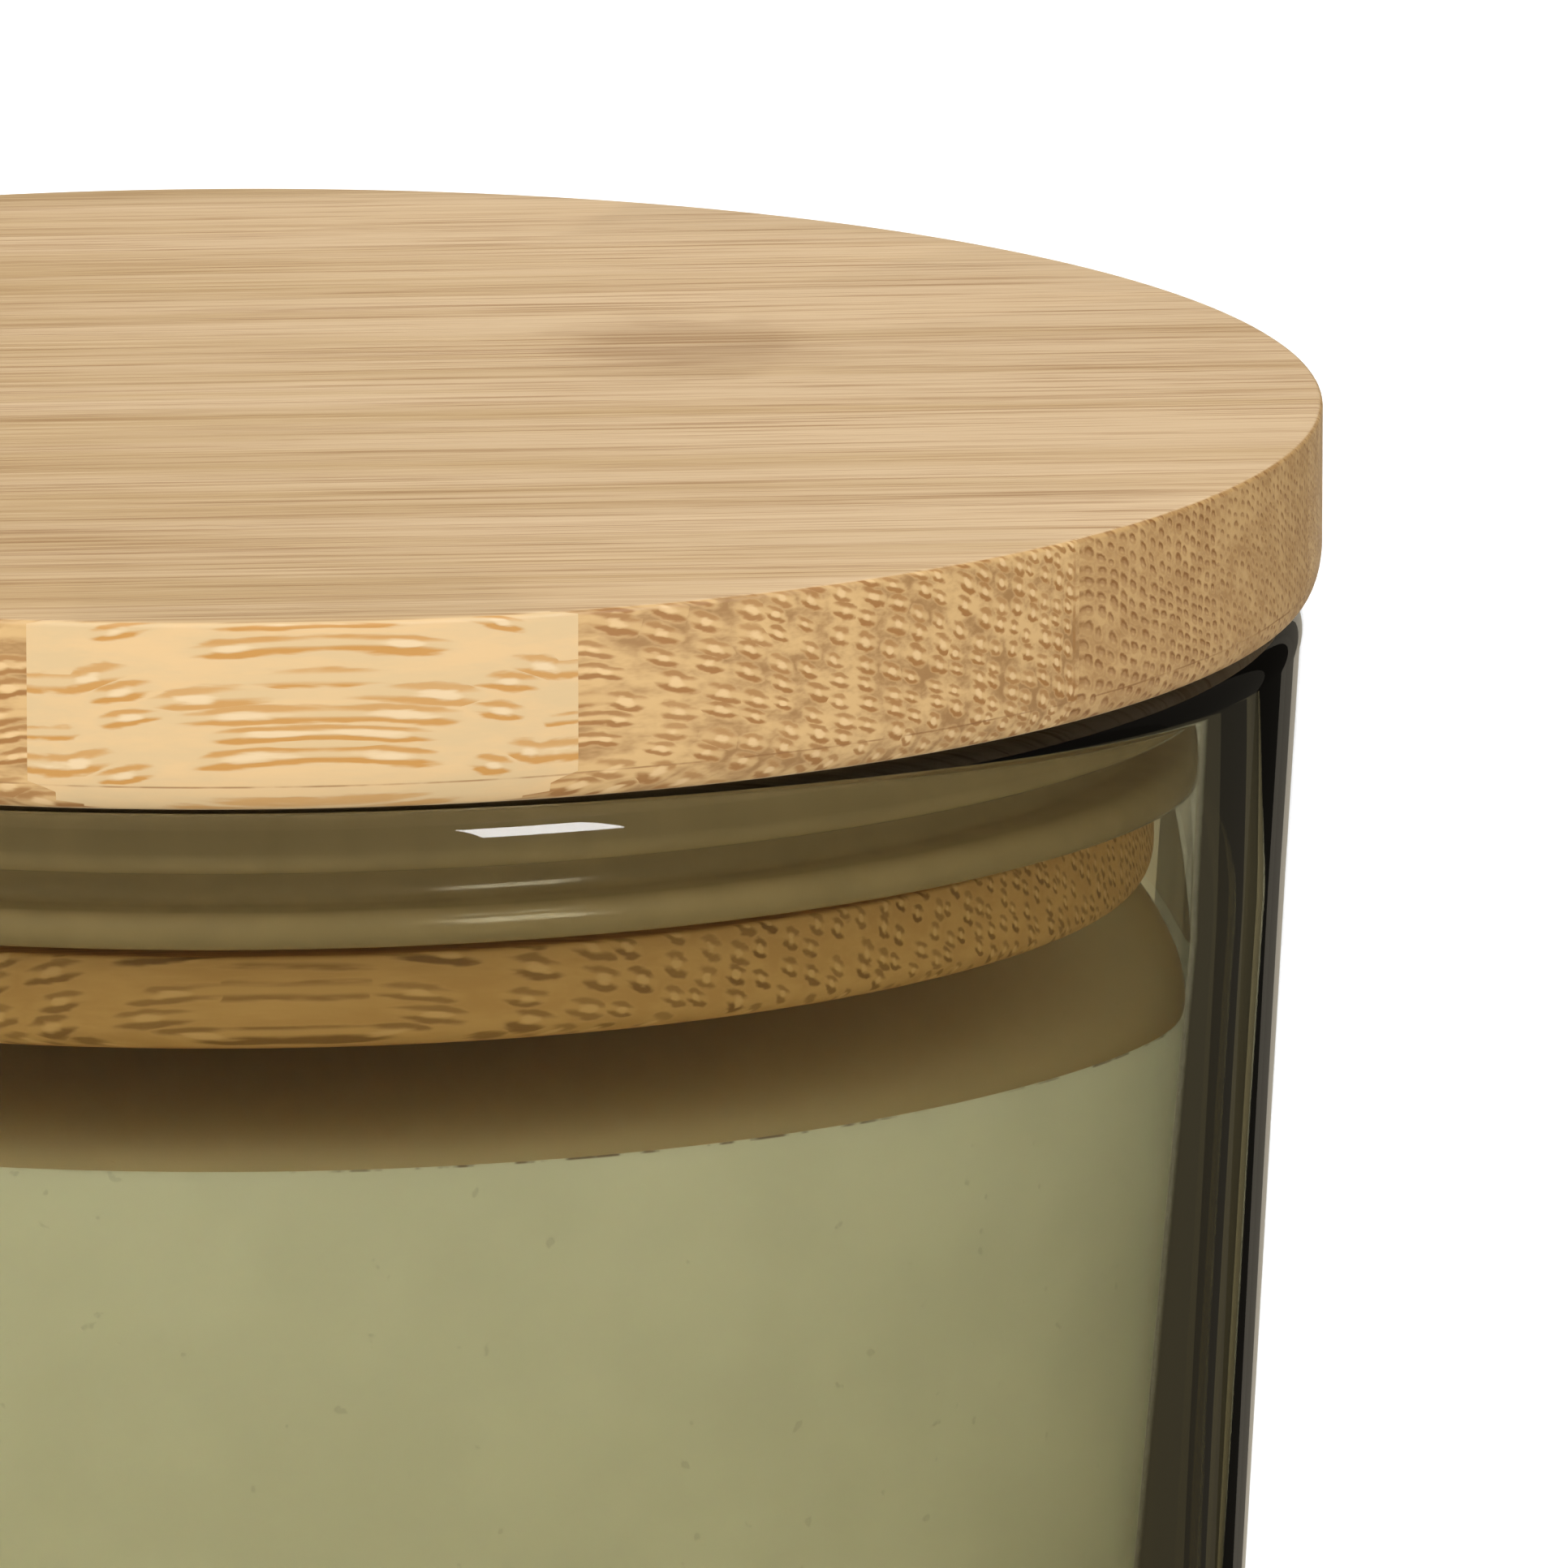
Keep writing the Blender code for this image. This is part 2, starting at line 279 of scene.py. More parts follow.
def turned(name, profile, rounds, ring=False):
    """Turns a profile about Z by extruding and scaling one ring after another.

    A ring's profile is a closed loop. A solid's starts and ends on the axis, and starts with a flat disc.
    """
    deselect()
    points = list(profile) + [profile[0]] if ring else list(profile)[1:]
    radius, height = points[0]
    fill = "NOTHING" if ring else "TRIFAN"
    place = (0, 0, height)
    bpy.ops.mesh.primitive_circle_add(vertices=rounds, radius=radius, fill_type=fill, location=place)
    piece = bpy.context.object
    piece.name = piece.data.name = name
    bpy.ops.object.mode_set(mode="EDIT")
    bpy.ops.mesh.select_mode(type="EDGE")
    bpy.ops.mesh.select_all(action="SELECT")
    if not ring:
        bpy.ops.mesh.region_to_loop()
    for next_radius, next_height in points[1:]:
        bpy.ops.mesh.extrude_region_move(TRANSFORM_OT_translate={"value": (0, 0, next_height - height)})
        if next_radius > 0:
            grow = next_radius / radius
            bpy.ops.transform.resize(value=(grow, grow, 1), center_override=(0, 0, next_height))
        else:
            bpy.ops.mesh.merge(type="CENTER")
        radius, height = next_radius, next_height
    finish_mesh()
    return piece


def keep(piece, body, slot, *nodes):
    """Attaches a finished piece to its body and hides the CAD nodes that it stands for. slot is not used."""
    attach(piece, body)
    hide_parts(*nodes)


# ---------------------------------------------------------------- materials


class Wiring:
    """Short calls that add linked nodes to one material."""

    def __init__(self, name):
        self.material = bpy.data.materials.new(name)
        self.material.use_nodes = True
        self.tree = self.material.node_tree
        self.shader = self.tree.nodes["Principled BSDF"]
        self.output = self.tree.nodes["Material Output"]
        self.place = self.add("ShaderNodeTexCoord").outputs["Object"]

    def add(self, kind, **settings):
        node = self.tree.nodes.new(kind)
        for key, value in settings.items():
            setattr(node, key, value)
        return node

    def feed(self, socket, value):
        """Links a socket to an input, or sets the input's own value."""
        if isinstance(value, bpy.types.NodeSocket):
            self.tree.links.new(value, socket)
        elif hasattr(value, "__len__") and socket.type == "RGBA":
            socket.default_value = (*tuple(value)[:3], 1)
        else:
            socket.default_value = value

    def math(self, operation, *values, clamp=False):
        node = self.add("ShaderNodeMath", operation=operation, use_clamp=clamp)
        for socket, value in zip(node.inputs, values):
            self.feed(socket, value)
        return node.outputs[0]

    def split(self, vector):
        node = self.add("ShaderNodeSeparateXYZ")
        self.feed(node.inputs[0], vector)
        return node.outputs[0], node.outputs[1], node.outputs[2]

    def join(self, x, y, z=0.0):
        node = self.add("ShaderNodeCombineXYZ")
        for socket, value in zip(node.inputs, (x, y, z)):
            self.feed(socket, value)
        return node.outputs[0]

    def times(self, first, second):
        return self.math("MULTIPLY", first, second)

    def hypotenuse(self, x, y):
        return self.math("SQRT", self.math("ADD", self.times(x, x), self.times(y, y)))

    def distance(self, value, place):
        """How far a value is from a place, either way."""
        return self.math("ABSOLUTE", self.math("SUBTRACT", value, place))

    def facing(self):
        """How far the surface faces up: 1 on top, -1 underneath."""
        return self.split(self.add("ShaderNodeNewGeometry").outputs["Normal"])[2]

    def vector(self, operation, first, second):
        node = self.add("ShaderNodeVectorMath", operation=operation)
        self.feed(node.inputs[0], first)
        self.feed(node.inputs[1], second)
        return node.outputs[0]

    def stretched(self, scale, shift=(0.0, 0.0, 0.0)):
        """Object coordinates in millimetres, multiplied along each axis."""
        wide = tuple(axis * MM_PER_METRE for axis in scale)
        return self.vector("ADD", self.vector("MULTIPLY", self.place, wide), shift)

    def noise(self, vector, detail=2.0, roughness=0.5, output="Fac"):
        node = self.add("ShaderNodeTexNoise")
        values = {"Vector": vector, "Scale": 1.0, "Detail": detail, "Roughness": roughness}
        for key, value in values.items():
            self.feed(node.inputs[key], value)
        return node.outputs[output]

    def band(self, value, low, high, start=0.0, end=1.0):
        """Smooth step from start at low to end at high."""
        node = self.add("ShaderNodeMapRange", interpolation_type="SMOOTHSTEP")
        for socket, number in zip(node.inputs, (value, low, high, start, end)):
            self.feed(socket, number)
        return node.outputs[0]

    def mix(self, share, first, second, blend="MIX"):
        """Mixes two colours."""
        node = self.add("ShaderNodeMix", data_type="RGBA", blend_type=blend)
        self.feed(node.inputs[0], share)
        self.feed(node.inputs[6], first)
        self.feed(node.inputs[7], second)
        return node.outputs[2]

    def bump(self, height, distance, strength=1.0):
        """A normal from a height, with the distance in metres."""
        node = self.add("ShaderNodeBump")
        self.feed(node.inputs["Height"], height)
        self.feed(node.inputs["Distance"], distance)
        self.feed(node.inputs["Strength"], strength)
        self.feed(self.shader.inputs["Normal"], node.outputs[0])

    def finish(self, piece, **values):
        """Sets plain values on the shader's own sockets and gives the material to a piece."""
        for key, value in values.items():
            self.feed(self.shader.inputs[key.replace("_", " ")], value)
        piece.data.materials.clear()
        piece.data.materials.append(self.material)


def olive_glass(piece, settings):
    """Clear glass that absorbs as it gets thicker, with the faint waviness of pressing."""
    wiring = Wiring("olive_glass")
    absorb = wiring.add("ShaderNodeVolumeAbsorption")
    wiring.feed(absorb.inputs["Color"], settings.tint)
    wiring.feed(absorb.inputs["Density"], settings.density)
    wiring.tree.links.new(absorb.outputs[0], wiring.output.inputs["Volume"])
    waves = wiring.noise(wiring.stretched((0.06, 0.06, 0.02)), detail=1.0)
    wiring.bump(waves, 0.0004, 0.15)
    wiring.finish(piece, Base_Color=(1, 1, 1), Roughness=0.0, IOR=1.5, Transmission_Weight=1.0)


def scaled(colour, shares):
    """A colour with each channel multiplied by its share, or all by one."""
    shares = shares if hasattr(shares, "__len__") else (shares,) * 3
    return tuple(channel * share for channel, share in zip(colour, shares))


def soy_wax(piece, settings):
    """Soft wax, faintly mottled and pitted, with painted brown shade over its top and a broken dark line
    along its edge.
    """
    wiring = Wiring("soy_wax")
    cloud = wiring.noise(wiring.stretched((0.12, 0.12, 0.12)), detail=3.0, roughness=0.6)
    speck = wiring.noise(wiring.stretched((1.3, 1.3, 1.3)))
    pits = wiring.band(speck, 0.70, 0.76)
    tone = wiring.mix(wiring.band(cloud, 0.35, 0.68), scaled(settings.body, 0.94), settings.body)
    tone = wiring.mix(wiring.times(pits, 0.35), tone, scaled(settings.body, 0.6))
    # Painted shade: faces that look up are browned. This stands in for the shade under the lid, which light
    # bounced off the bamboo turns brown.
    painted_brown_shade = scaled(settings.body, (1.0, 0.90, 0.73))
    tone = wiring.mix(wiring.band(wiring.facing(), 0.05, 0.40), tone, painted_brown_shade)

    height = wiring.split(wiring.stretched((1.0, 1.0, 1.0)))[2]
    crest = WAX_EDGE * MM_PER_METRE
    edge = wiring.band(height, crest - 0.12, crest - 0.05)
    broken = wiring.band(wiring.noise(wiring.stretched((0.8, 0.8, 0.0)), detail=3.0), 0.46, 0.60)
    stretch = wiring.noise(wiring.stretched((0.05, 0.05, 0.0), (3.0, 5.0, 0.0)))
    broken = wiring.times(broken, wiring.band(stretch, 0.40, 0.55, 0.1, 0.8))
    tone = wiring.mix(wiring.times(edge, broken), tone, DEEP_BROWN)

    wiring.bump(wiring.math("SUBTRACT", cloud, wiring.times(pits, 0.5)), 0.0001, 0.3)
    wiring.finish(piece, Base_Color=tone, Roughness=wiring.band(cloud, 0.3, 0.7, 0.5, 0.62),
                  Subsurface_Weight=0.10, Subsurface_Radius=(0.0018, 0.0013, 0.0008), Subsurface_Scale=1.0,
                  IOR=1.44)


def silicone(piece, settings):
    """Milky silicone with a satin skin."""
    wiring = Wiring("silicone")
    skin = wiring.noise(wiring.stretched((0.5, 0.5, 0.5)), detail=3.0)
    tone = wiring.mix(wiring.band(skin, 0.3, 0.7), scaled(settings.silicone, 0.9), settings.silicone)
    wiring.bump(skin, 0.00003, 0.4)
    wiring.finish(piece, Base_Color=tone, Roughness=0.16, IOR=1.41, Transmission_Weight=0.25)


def bundle_cells(wiring, wood, across, upward):
    """The bundles' places: a point's offset from its bundle, in cells, and the bundle's random numbers."""
    low, high, near, far = wood["low"], wood["high"], wood["near"], wood["far"]
    along = wiring.math("DIVIDE", wiring.math("SUBTRACT", across, low), high - low, clamp=True)
    growth = wiring.math("POWER", near / far, along)
    column = wiring.times(growth, (high - low) / (near * math.log(near / far)))
    row = wiring.times(wiring.times(growth, upward), 1 / (wood["tall"] * near))
    row = wiring.math("MULTIPLY_ADD", column, 0.5, row)
    seed = wood["seed"]
    cells = wiring.join(wiring.math("ADD", column, seed * 3.7), wiring.math("ADD", row, seed * 1.3))
    bundle = wiring.add("ShaderNodeTexVoronoi", voronoi_dimensions="2D", feature="F1")
    for key, value in (("Vector", cells), ("Scale", 1.0), ("Randomness", wood["jitter"])):
        wiring.feed(bundle.inputs[key], value)
    offset = wiring.split(wiring.vector("SUBTRACT", cells, bundle.outputs["Position"]))
    return offset[:2], wiring.split(bundle.outputs["Color"])[:2]


def vessels(wiring, wood, offset, lot, wobble):
    """How far out in its bundle a point is, and how much of it is vessel: paired arcs, pits with painted
    shade on their upper part, or between.
    """
    grow = wiring.times(wiring.math("MULTIPLY_ADD", lot, 0.35, 0.80), wood["size"])
    side, rise = (wiring.math("DIVIDE", part, grow) for part in offset)
    reach = wiring.hypotenuse(side, rise)
    reach = wiring.math("ADD", reach, wiring.math("MULTIPLY_ADD", wobble, 1.0, -0.50))
    rim = wiring.band(wiring.distance(reach, 0.92), 0.16, 0.56, 1.0, 0.0)
    tilt = wiring.math("DIVIDE", rise, wiring.math("ADD", reach, 0.2))
    brows = wiring.math("MAXIMUM", wiring.band(tilt, 0.25, 0.70, 0.0, 0.8), wiring.band(tilt, -0.15, -0.60))
    # Partly a real pit, partly painted shade: the pit is darkened only over its upper part, as if its upper
    # lip shades it. Its lower wall is left pale, as if lit.
    pit_with_painted_shade = wiring.times(wiring.band(rise, -0.7, 0.1), wiring.band(reach, 0.7, 1.4, 1.0, 0.0))
    return reach, wiring.split(wiring.mix(wood["pitted"], wiring.times(rim, brows), pit_with_painted_shade))[0]


def cut_cane(wiring, settings, wood, reach, vessel, lot):
    """The cane cut across: ground tissue, pale sheaths, dark vessels and pale cores."""
    warm = (wood["warm"] * wood["shade"], wood["shade"], wood["shade"] / wood["warm"] ** 2)
    sheath, heart = scaled(settings.sheath, warm), scaled(settings.core, warm)
    mottle = wiring.stretched((0.12, 0.85, 0.85), (0.0, wood["seed"], 0.0))
    mottle = wiring.noise(mottle, detail=4.0, roughness=0.65)
    ground = wiring.mix(wiring.band(mottle, 0.36, 0.64), wood["ground"], sheath)
    tone = wiring.mix(wiring.times(wiring.band(reach, 1.05, 1.75, 1.0, 0.0), 0.80), ground, sheath)
    depth = wiring.times(vessel, wiring.math("MULTIPLY_ADD", lot, 0.30, wood["dark"]))
    tone = wiring.mix(depth, tone, wood["vessel"])
    core = wiring.times(wiring.band(reach, 0.20, 0.65, 1.0, 0.0), 1 - wood["pitted"])
    return wiring.mix(wiring.times(core, 0.52), tone, heart)


def glue_line(wiring, wood, tone, y, wobble):
    """A worn dark line at the piece's back side."""
    seam = wiring.distance(wiring.math("MULTIPLY_ADD", wobble, 0.08, y), wood["high"] - 0.02)
    worn = wiring.band(wiring.noise(wiring.stretched((0.0, 0.0, 0.9))), 0.42, 0.60, 0.1, 0.75)
    return wiring.mix(wiring.times(wiring.band(seam, 0.02, 0.08, 1.0, 0.0), worn), tone, wood["vessel"])


def sanded_face(wiring, settings, wood, x, y):
    """The cane cut along: fine broken lines with the grain, the joint of the cane, and painted light that
    grows towards +X.
    """
    seed = wood["seed"]
    fine = wiring.noise(wiring.stretched((0.05, 3.2, 1.0), (seed, seed, 0.0)), detail=4.0, roughness=0.7)
    hair = wiring.noise(wiring.stretched((0.10, 8.5, 1.0), (0.0, seed, 0.0)), detail=3.0, roughness=0.6)
    broad = wiring.noise(wiring.stretched((0.012, 0.35, 0.3)))
    # Painted light: the face grows paler towards +X, as if lit more from that side. The broad noise adds
    # paler stretches at random.
    light = wiring.math("MULTIPLY_ADD", wiring.band(x, -25.0, 35.0), 0.30, broad)
    face = wiring.mix(wiring.band(light, 0.40, 0.85), settings.face, settings.pale_face)
    face = wiring.mix(wiring.times(wiring.band(fine, 0.50, 0.68), 0.75), face, settings.streak)
    face = wiring.mix(wiring.times(wiring.band(fine, 0.48, 0.32), 0.65), face, settings.pale_streak)
    face = wiring.mix(wiring.times(wiring.band(hair, 0.52, 0.68), 0.55), face, settings.streak)
    face = wiring.mix(1.0, face, wood["tint"], blend="MULTIPLY")
    if wood["knot"]:
        low, high = wood["low"], wood["high"]
        smear = wiring.noise(wiring.stretched((0.16, 0.30, 0.5)), detail=3.0)
        away_x = wiring.math("DIVIDE", wiring.math("SUBTRACT", x, wood["knot"]), 6.5)
        away_y = wiring.math("DIVIDE", wiring.math("SUBTRACT", y, (low + high) / 2), (high - low) / 2)
        away = wiring.hypotenuse(away_x, away_y)
        away = wiring.math("ADD", away, wiring.math("MULTIPLY_ADD", smear, 1.6, -0.8))
        inside = wiring.band(away, 0.35, 1.0, 1.0, 0.0)
        smudge = wiring.times(inside, wiring.band(fine, 0.25, 0.60, 0.15, 0.42))
        face = wiring.mix(smudge, face, settings.knot)
    return face


def bamboo(piece, name, settings, wood):
    """Bamboo with its grain along X: cut cane at the side, and a sanded face at top and bottom.

    wood is the piece's own CANE, with its front and back side as low and high, its mid height as middle, and
    the height of the lathe tool's line as line, all in millimetres.
    """
    wiring = Wiring(name)
    x, y, z = wiring.split(wiring.stretched((1.0, 1.0, 1.0)))
    seed = wood["seed"]
    drift = wiring.noise(wiring.stretched((0.03, 0.20, 0.20), (seed, 0.0, 0.0)), output="Color")
    sway_y, sway_z, _ = wiring.split(wiring.vector("SUBTRACT", drift, (0.5, 0.5, 0.5)))
    across = wiring.math("MULTIPLY_ADD", sway_y, 1.0, y)
    upward = wiring.math("SUBTRACT", wiring.math("MULTIPLY_ADD", sway_z, 1.4, z), wood["middle"])
    wobble = wiring.noise(wiring.stretched((0.5, 4.0, 4.0), (0.0, seed, 0.0)))

    offset, lots = bundle_cells(wiring, wood, across, upward)
    reach, vessel = vessels(wiring, wood, offset, lots[0], wobble)
    tone = cut_cane(wiring, settings, wood, reach, vessel, lots[1])
    if wood["glue"]:
        tone = glue_line(wiring, wood, tone, y, wobble)
    scratch = wiring.distance(wiring.math("MULTIPLY_ADD", sway_z, 0.25, z), wood["line"])
    broken = wiring.band(wiring.noise(wiring.stretched((0.5, 0.5, 0.0)), detail=3.0), 0.38, 0.60, 0.15, 0.85)
    scratch = wiring.times(wiring.band(scratch, 0.015, 0.05, 1.0, 0.0), broken)
    tone = wiring.mix(wiring.times(scratch, 0.8), tone, BROWN)
    flat = wiring.band(wiring.math("ABSOLUTE", wiring.facing()), 0.75, 0.95)
    tone = wiring.mix(flat, tone, sanded_face(wiring, settings, wood, x, y))

    fibre = wiring.noise(wiring.stretched((0.12, 5.0, 5.0)), detail=3.0)
    height = wiring.math("SUBTRACT", wiring.times(fibre, 0.30), wiring.math("ADD", vessel, scratch))
    height = wiring.times(height, wiring.math("MULTIPLY_ADD", flat, -0.8, 1.0))
    wiring.bump(height, 0.00003, 0.25)
    wiring.finish(piece, Base_Color=tone, Roughness=wiring.band(fibre, 0.2, 0.8, 0.45, 0.62), IOR=1.42)


def plain(piece, name, tone, vary, size, roughness, bump, metallic=0.0):
    """A material whose tone and surface vary a little over the piece. size is the grain in millimetres."""
    wiring = Wiring(name)
    grain = wiring.noise(wiring.stretched((1 / size,) * 3), detail=4.0, roughness=0.6)
    shade = wiring.mix(wiring.band(grain, 0.3, 0.7), scaled(tone, 1 - vary), tone)
    wiring.bump(grain, bump, 0.5)
    wiring.finish(piece, Base_Color=shade, Roughness=wiring.band(grain, 0.3, 0.7, roughness, roughness * 1.3),
                  Metallic=metallic)


# ---------------------------------------------------------------- operators


class MakeGlassJar(bpy.types.Operator):
    """Turns the pressed glass jar"""

    bl_idname = "candle_jar.glass_jar"
    bl_label = "Glass jar"

    def execute(self, context):
        settings = context.scene.candle_jar.glass

        def outer(height):
            return RIM_RADIUS - settings.outer_slope * (JAR_HEIGHT - height)

        def inner(height):
            return settings.rim_inner - settings.inner_slope * (JAR_HEIGHT - height)

        half_wall = (RIM_RADIUS - settings.rim_inner) / 2
        rim_height = JAR_HEIGHT - half_wall
        rim_middle = (outer(rim_height) + inner(rim_height)) / 2
        rim_reach = (outer(rim_height) - inner(rim_height)) / 2
        floor = wall_fillet(inner, settings.inner_slope, settings.floor, settings.floor_fillet, upwards=True)
        inside = [(inner(z), z) for z in spread(floor[-1][1], rim_height, 10)[1:-1]]
        rim = arc((rim_middle, rim_height), (rim_reach, half_wall), 180, 0, 28)
        base = wall_fillet(outer, settings.outer_slope, 0, settings.base_fillet, upwards=False)
        outside = [(outer(z), z) for z in spread(rim_height, base[0][1], 10)[1:-1]]
        punt = [(settings.punt_radius + 0.002, 0), (settings.punt_radius, settings.punt_height)]
        punt += [(0, settings.punt_height)]
        profile = [(0, settings.floor)] + floor + inside + rim + outside + base + punt
        jar = turned("pressed_glass_jar", profile, settings.rounds)
        olive_glass(jar, settings)
        keep(jar, "jar", "jar_glass", "glass_jar")
        return {"FINISHED"}


class MakeWax(bpy.types.Operator):
    """Turns the wax with its raised edge and the pocket for the wick's tab"""

    bl_idname = "candle_jar.wax"
    bl_label = "Wax"

    def execute(self, context):
        settings = context.scene.candle_jar.wax
        glass = context.scene.candle_jar.glass

        def wall(height):
            return glass.rim_inner - glass.inner_slope * (JAR_HEIGHT - height) - settings.gap

        level = settings.fill_top
        edge = wall(WAX_EDGE)
        width = settings.meniscus_width
        meniscus = arc((edge - width, WAX_EDGE), (width, WAX_EDGE - level), -90, -4, 14)
        bore = WICK_BOX[1].y + settings.gap
        collar = [(bore, level + 0.0005), (bore + 0.0004, level + 0.00025), (bore + 0.0012, level + 0.00006)]
        top = [(radius, level) for radius in spread(bore + 0.003, meniscus[0][0], 12)[:-1]]
        bottom = WAX_BOX[0].z
        fillet = glass.floor_fillet - settings.gap
        corner = wall_fillet(wall, glass.inner_slope, bottom, fillet, upwards=False)
        side = [(wall(z), z) for z in spread(WAX_EDGE, corner[0][1], 24)[1:-1]]
        tab, tab_top = TAB_BOX[1].x + settings.gap, TAB_BOX[0].z + TAB_SHEET + settings.gap
        neck, neck_top = TAB_NECK + settings.gap, TAB_BOX[1].z + settings.gap
        pocket = [(tab, bottom), (tab, tab_top), (neck, tab_top), (neck, neck_top), (bore, neck_top)]
        profile = collar + top + meniscus + [(edge, WAX_EDGE)] + side + corner + pocket
        wax = turned("poured_wax", profile, 192, ring=True)
        soy_wax(wax, settings)
        keep(wax, "jar", "wax", "wax_fill")
        return {"FINISHED"}


class MakeWick(bpy.types.Operator):
    """Braids the wick and makes its tab and sticker"""

    bl_idname = "candle_jar.wick"
    bl_label = "Wick, tab and sticker"

    def execute(self, context):
        strands = [self.strand(number) for number in range(6)]
        deselect()
        for strand in strands:
            strand.select_set(True)
        context.view_layer.objects.active = strands[0]
        bpy.ops.object.convert(target="MESH")
        bpy.ops.object.join()
        wick = context.object
        wick.name = wick.data.name = "braided_wick"
        bpy.ops.object.mode_set(mode="EDIT")
        finish_mesh(0.00001)
        plain(wick, "braided_cotton", (0.80, 0.75, 0.63), 0.25, 0.25, 0.7, 0.00004)
        keep(wick, "jar", "wick_cotton", "wick")

        base, top, rim = TAB_BOX[0].z, TAB_BOX[1].z, TAB_BOX[1].x
        bore, disc_top, soft, bend = TAB_NECK - 0.0004, base + TAB_SHEET, 0.0001, 0.0006
        profile = [(bore, top - soft), (bore + soft, top), (TAB_NECK - soft, top), (TAB_NECK, top - soft)]
        profile += arc((TAB_NECK + bend, disc_top + bend), (bend, bend), 180, 270, 4)
        profile += [(rim - soft, disc_top), (rim, disc_top - soft), (rim, base), (bore, base)]
        tab = turned("stamped_tab", profile, 96, ring=True)
        plain(tab, "tinned_sheet", (0.66, 0.66, 0.67), 0.12, 0.8, 0.22, 0.00001, metallic=1.0)
        keep(tab, "jar", "tab_steel", "wick_tab")

        low, high, rim, bulge = STICKER_BOX[0].z, STICKER_BOX[1].z, STICKER_BOX[1].x, 0.0004
        edge = arc((rim - bulge, (low + high) / 2), (bulge, (high - low) / 2), 90, -90, 8)
        sticker = turned("foam_sticker", [(0, high)] + edge + [(0, low)], 96)
        plain(sticker, "adhesive_foam", (0.86, 0.86, 0.84), 0.10, 0.3, 0.75, 0.00003)
        keep(sticker, "jar", "sticker_foam", "wick_sticker")
        return {"FINISHED"}

    def strand(self, number):
        """One strand. Half of them wind each way, and each passes over and under the others."""
        way = 1 if number % 2 else -1
        start = 2 * math.pi * (number // 2) / 3
        base, top, radius = WICK_BOX[0].z, WICK_BOX[1].z, WICK_BOX[1].y
        pitch, step_length, thick = 0.0060, 0.0003, radius * 0.40
        path = bpy.data.curves.new("strand", "CURVE")
        path.dimensions = "3D"
        path.bevel_depth = thick
        path.bevel_resolution = 1
        path.use_fill_caps = True
        line = path.splines.new("POLY")
        line.points.add(int((top - base) / step_length))
        bend_from = base + (top - base) * 0.942
        lean = WICK_BOX[1].x - radius - 0.0001
        ends = base + thick * 0.4, top - thick * 0.4
        for point, height in zip(line.points, spread(*ends, len(line.points) - 1)):
            turn = start + way * 2 * math.pi * (height - base) / pitch
            over = radius * (0.44 + 0.14 * math.cos(3 * turn + (0 if way > 0 else math.pi)))
            share = max(0.0, (height - bend_from) / (top - bend_from))
            point.co = (over * math.cos(turn) + lean * share * share, over * math.sin(turn), height, 1)
        strand = bpy.data.objects.new("strand", path)
        bpy.context.scene.collection.objects.link(strand)
        return strand


class MakeSeal(bpy.types.Operator):
    """Turns the silicone seal with its two lips"""

    bl_idname = "candle_jar.seal"
    bl_label = "Silicone seal"

    def execute(self, context):
        settings = context.scene.candle_jar.seal
        glass = context.scene.candle_jar.glass
        low, high, lip = SEAL_BOX[0].z, SEAL_BOX[1].z, settings.lip
        inner = PLUG_RADIUS - GROOVE_DEPTH + FIT_GAP
        middle, bow = (low + high) / 2, 0.0004

        def lip_round(height):
            reach = glass.rim_inner - glass.inner_slope * (JAR_HEIGHT - height) - FIT_GAP
            return arc((reach - lip, height), (lip, lip), 90, -90, 16)

        waist = arc((inner + settings.band + bow, middle), (bow, high - middle - 2 * lip), 90, 270, 8)
        profile = [(inner, high)] + lip_round(high - lip) + waist + lip_round(low + lip) + [(inner, low)]
        seal = turned("silicone_seal", profile, 192, ring=True)
        silicone(seal, settings)
        keep(seal, "seal", "seal_silicone", "seal_ring")
        return {"FINISHED"}


class MakePlug(bpy.types.Operator):
    """Turns the bamboo plug with the seal's groove"""

    bl_idname = "candle_jar.plug"
    bl_label = "Bamboo plug"

    def execute(self, context):
        settings = context.scene.candle_jar.bamboo
        groove_top, groove_low = SEAL_BOX[1].z + FIT_GAP, SEAL_BOX[0].z - 2 * FIT_GAP
        floor, soft, edge = PLUG_RADIUS - GROOVE_DEPTH, 0.00015, 0.0009
        top, side = PLUG_BOX[1].z, PLUG_RADIUS - soft
        profile = [(0, top)] + arc((side, top - soft), (soft, soft), 90, 0, 3)
        profile += arc((side, groove_top + soft), (soft, soft), 0, -90, 3)
        profile += [(floor, groove_top), (floor, groove_low)]
        profile += arc((side, groove_low - soft), (soft, soft), 90, 0, 3)
        profile += arc((PLUG_RADIUS - edge, PLUG_BOTTOM + edge), (edge, edge), 0, -90, 10)
        profile += [(0, PLUG_BOTTOM)]
        plug = turned("bamboo_plug", profile, 256)
        reach, middle = PLUG_RADIUS * MM_PER_METRE, (SEAL_BOX[0].z - FIT_GAP) * MM_PER_METRE
        wood = dict(PLUG_WOOD, low=-reach, high=reach, middle=middle, line=0.0)
        bamboo(plug, "plug_bamboo", settings, wood)
        keep(plug, "lid", "plug_bamboo", "lid_plug")
        return {"FINISHED"}


